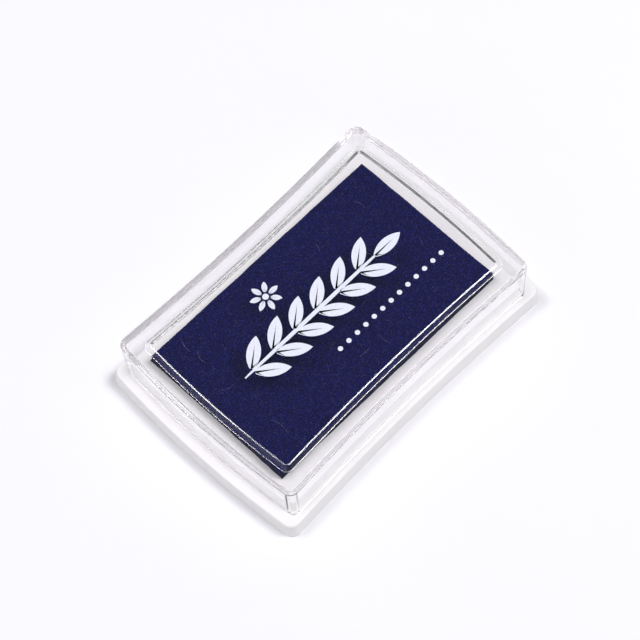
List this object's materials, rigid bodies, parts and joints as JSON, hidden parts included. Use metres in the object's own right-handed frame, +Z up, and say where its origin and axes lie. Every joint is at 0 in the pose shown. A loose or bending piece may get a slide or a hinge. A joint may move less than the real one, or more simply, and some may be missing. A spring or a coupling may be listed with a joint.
{
  "type": "craft ink pad",
  "caption": "Navy felt ink pad glued on a white moulded tray, under a clear lift-off lid with a raised panel and a printed leaf motif.",
  "frame": {"origin": "under the middle of the base tray, on the surface that it rests on", "axes": "+X along the long side, +Y along the short side, +Z up through the lid"},
  "size_m": [0.078, 0.0534, 0.0168],
  "materials": {
    "base_tray": "opaque white moulded plastic, smooth with a soft gloss",
    "adhesive_sheet": "double-sided adhesive film",
    "foam_core": "open-cell foam soaked with navy ink",
    "felt_top": "fine navy felt, matte, with faint lighter fibres",
    "lid": "clear moulded polystyrene, glossy",
    "lid_print": "white screen-printed ink, satin"
  },
  "bodies": {
    "base": {"base_tray": "base_tray", "adhesive_sheet": "adhesive_sheet", "foam_core": "foam_core", "felt_top": "felt_top"},
    "lid": {"lid": "lid", "lid_print": "lid_print"}
  },
  "joints": [
    {"name": "lid_lift", "type": "slide", "parent": "base", "child": "lid", "axis": [0, 0, 1], "range_m": [0, 0.03]}
  ]
}
